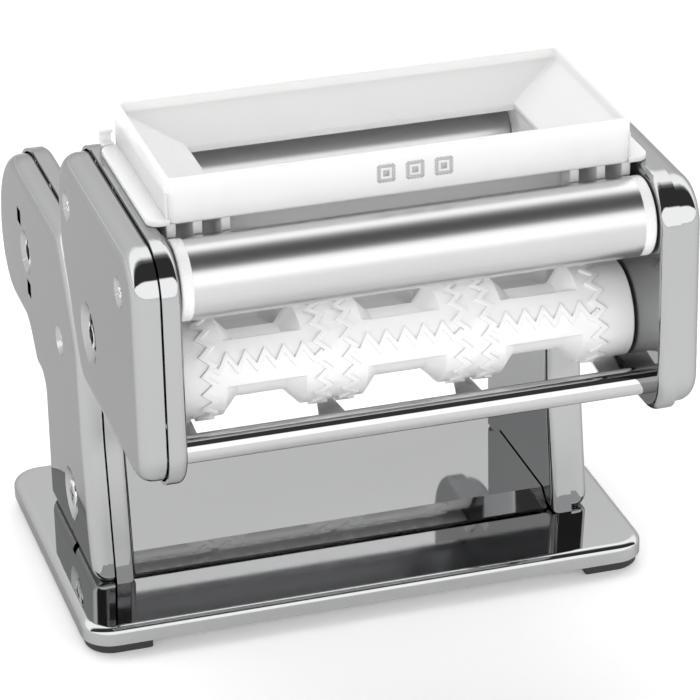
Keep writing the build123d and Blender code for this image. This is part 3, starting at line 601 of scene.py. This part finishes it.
def ear(verts, faces, side, low_z):
    """The flange that rests on a side plate, with a small curled catch at its back."""
    corner_x = EAR_OUT - EAR_ROUND
    corners = ((EAR_FRONT + EAR_ROUND, -90), (EAR_BACK - EAR_ROUND, 0))
    outline = [(EAR_IN, EAR_FRONT)]
    for corner_y, start in corners:
        for step in range(EAR_STEPS + 1):
            a = math.radians(start + 90 * step / EAR_STEPS)
            x = corner_x + EAR_ROUND * math.cos(a)
            outline.append((x, corner_y + EAR_ROUND * math.sin(a)))
    outline.append((EAR_IN, EAR_BACK))
    levels = (low_z, low_z + EAR_THICK)
    loft(verts, faces, [[(side * x, y, z) for x, y in outline] for z in levels])
    centre = (CURL_Y, low_z + CURL_R + CURL_RISE)
    start, stop = CURL_ANGLES
    curl = arc_points(*centre, CURL_R, start, stop, CURL_STEPS)
    curl += arc_points(*centre, CURL_R - CURL_THICK, stop, start, CURL_STEPS)
    slab(verts, faces, curl, side * CURL_SPAN[0], side * CURL_SPAN[1])


def hopper():
    """The filling tray, with its sloping floor, throat, ears and ribs."""
    verts, faces = [], []
    loft(verts, faces, [rounded_loop(*row) for row in HOPPER_SKIN], wrap=True)
    axles = [
        (mid(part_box(f"{where}_carrying_axle"), 1), mid(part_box(f"{where}_carrying_axle"), 2))
        for where in ("front", "rear")
    ]
    throat = HOPPER_SKIN[-2]
    for side in (-1, 1):
        ear(verts, faces, side, HOPPER_SKIN[0][4])
        for x in RIB_PLACES:
            outline = rib_outline(x, RIB_REACH, axles)
            slab(verts, faces, outline, side * (x - RIB_HALF), side * (x + RIB_HALF))
    half = throat[0] + APRON_PAST
    back, top = throat[1], throat[4] + APRON_BITE
    front = back - APRON_THICK
    apron = [(back, APRON_LOW), (back, top), (front, top), (front, APRON_LOW)]
    slab(verts, faces, apron, -half, half)
    material = MATERIALS["hopper_plastic"]
    piece = build(
        "filling_tray", verts, faces, material, "hopper", HOPPER_BEVEL, HOPPER_SMOOTH
    )
    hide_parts("filling_hopper")
    return piece


def toothed_square(cx, cz, half, teeth, swing):
    """A square outline (x, z) with small teeth along its sides."""
    outline = []
    steps = 2 * teeth
    for turn in range(4):
        a = math.radians(90 * turn)
        for i in range(steps):
            along = -half + 2 * half * i / steps
            out = half + (swing if i % 2 else 0.0)
            x, z = out, along
            turned_x = cx + x * math.cos(a) - z * math.sin(a)
            outline.append((turned_x, cz + x * math.sin(a) + z * math.cos(a)))
    return outline


def pictogram():
    """A plain sign for filled parcels, printed on the tray: a row of toothed squares."""
    verts, faces = [], []
    front = HOPPER_SKIN[4][1]
    half = PICTURE_SIZE / 2 - PICTURE_MARGIN
    for index in range(3):
        cx = PICTURE_LEFT + PICTURE_SIZE / 2 + index * (PICTURE_SIZE + PICTURE_GAP)
        cz = PICTURE_LOW + PICTURE_SIZE / 2
        outer = toothed_square(cx, cz, half, PICTURE_TEETH, PICTURE_SWING)
        inner = toothed_square(cx, cz, half - PICTURE_RIM, PICTURE_TEETH, 0.0)
        blob = toothed_square(cx, cz, half - 2 * PICTURE_RIM, PICTURE_TEETH, 0.0)
        rim = ((inner, PRINT_HALF), (outer, PRINT_HALF), (outer, -PRINT_HALF), (inner, -PRINT_HALF))
        loft(verts, faces, [[(x, front + dy, z) for x, z in line] for line, dy in rim], wrap=True)
        levels = (PRINT_HALF, -PRINT_HALF)
        loft(verts, faces, [[(x, front + dy, z) for x, z in blob] for dy in levels])
    piece = build("parcel_sign", verts, faces, INK, "hopper")


hopper()
pictogram()

# ---------------------------------------------------------------- floor
FLOOR_HALF = 6.0
FLOOR_GLOW = 0.18
floor_mesh = bpy.data.meshes.new("floor")
floor_mesh.from_pydata(
    [(FLOOR_HALF * x, FLOOR_HALF * y, 0) for x, y in ((-1, -1), (1, -1), (1, 1), (-1, 1))],
    [], [(0, 1, 2, 3)],
)
floor = bpy.data.objects.new("floor", floor_mesh)
bpy.context.scene.collection.objects.link(floor)
paint = Nodes("floor_paint")
paint.link(
    paint.ramp(paint.noise(3, 3), [(0.3, 0.93), (0.7, 0.95)]), paint.shader.inputs["Base Color"]
)
paint.shader.inputs["Roughness"].default_value = 0.8
paint.shader.inputs["Emission Color"].default_value = (1, 1, 1, 1)
paint.shader.inputs["Emission Strength"].default_value = FLOOR_GLOW
paint.shader.inputs["Specular IOR Level"].default_value = 0.1
floor.data.materials.append(paint.material)

# ---------------------------------------------------------------- studio light
# The angle runs from the front horizon (0) over the top (0.5) to the back horizon (1).
SKY = [
    (0.000, 2.0), (0.215, 2.0), (0.235, 0.06), (0.475, 0.06),
    (0.525, 0.30), (0.595, 2.0), (0.780, 2.0), (0.835, 1.25), (1.000, 1.20),
]
SKY_STRENGTH = 2.0
world = bpy.data.worlds.new("studio")
bpy.context.scene.world = world
world.use_nodes = True
tree = world.node_tree
tree.nodes.clear()
sky_out = tree.nodes.new("ShaderNodeOutputWorld")
background = tree.nodes.new("ShaderNodeBackground")
sky_coords = tree.nodes.new("ShaderNodeTexCoord")
split = tree.nodes.new("ShaderNodeSeparateXYZ")
forward = tree.nodes.new("ShaderNodeMath")
forward.operation = "MULTIPLY"
forward.inputs[1].default_value = -1.0
angle = tree.nodes.new("ShaderNodeMath")
angle.operation = "ARCTAN2"
share = tree.nodes.new("ShaderNodeMath")
share.operation = "DIVIDE"
share.inputs[1].default_value = math.pi
sky = tree.nodes.new("ShaderNodeValToRGB")
while len(sky.color_ramp.elements) < len(SKY):
    sky.color_ramp.elements.new(0.5)
for item, (place, value) in zip(sky.color_ramp.elements, SKY):
    item.position = place
    grey = value / SKY_STRENGTH
    item.color = (grey, grey, grey, 1)
tree.links.new(sky_coords.outputs["Generated"], split.inputs[0])
tree.links.new(split.outputs["Y"], forward.inputs[0])
tree.links.new(split.outputs["Z"], angle.inputs[0])
tree.links.new(forward.outputs[0], angle.inputs[1])
tree.links.new(angle.outputs[0], share.inputs[0])
tree.links.new(share.outputs[0], sky.inputs["Fac"])
tree.links.new(sky.outputs["Color"], background.inputs["Color"])
tree.links.new(background.outputs[0], sky_out.inputs[0])
background.inputs["Strength"].default_value = SKY_STRENGTH


def area_light(name, place, target, size, energy):
    """A soft area lamp that does not show in glossy reflections."""
    data = bpy.data.lights.new(name, "AREA")
    data.shape = "RECTANGLE"
    data.size, data.size_y = size
    data.energy = energy
    lamp = bpy.data.objects.new(name, data)
    bpy.context.scene.collection.objects.link(lamp)
    lamp.location = place
    aim = (Vector(target) - Vector(place)).to_track_quat("-Z", "Y")
    lamp.rotation_mode = "QUATERNION"
    lamp.rotation_quaternion = aim
    lamp.visible_glossy = False
    return lamp


area_light("overhead", (0.0, 0.1, 1.6), (0, 0, 0.05), (1.8, 1.8), 4.0)
area_light("front_left", (-1.1, -1.4, 1.0), (0, 0, 0.08), (1.2, 1.2), 3.5)
area_light("front_right", (1.3, -1.0, 0.8), (0, 0, 0.08), (1.0, 1.0), 1.0)

# ---------------------------------------------------------------- camera
azimuth, elevation, roll = (
    math.radians(v) for v in (CAMERA_AZIMUTH, CAMERA_ELEVATION, CAMERA_ROLL)
)
back = Vector((
    math.sin(azimuth) * math.cos(elevation),
    -math.cos(azimuth) * math.cos(elevation),
    math.sin(elevation),
))
right = Vector((math.cos(azimuth), math.sin(azimuth), 0))
up = back.cross(right)
right_rolled = right * math.cos(roll) + up * math.sin(roll)
up_rolled = up * math.cos(roll) - right * math.sin(roll)
camera = bpy.data.objects.new("camera", bpy.data.cameras.new("camera"))
bpy.context.scene.collection.objects.link(camera)
camera.data.sensor_width = 36.0
camera.data.lens = CAMERA_LENS
camera.data.clip_start = 0.05
camera.data.clip_end = 50.0
turn = Matrix((right_rolled, up_rolled, back)).transposed()
camera.matrix_world = Matrix.Translation(CAMERA_TARGET + back * CAMERA_DISTANCE) @ turn.to_4x4()
bpy.context.scene.camera = camera
bpy.context.scene.view_settings.view_transform = "Standard"
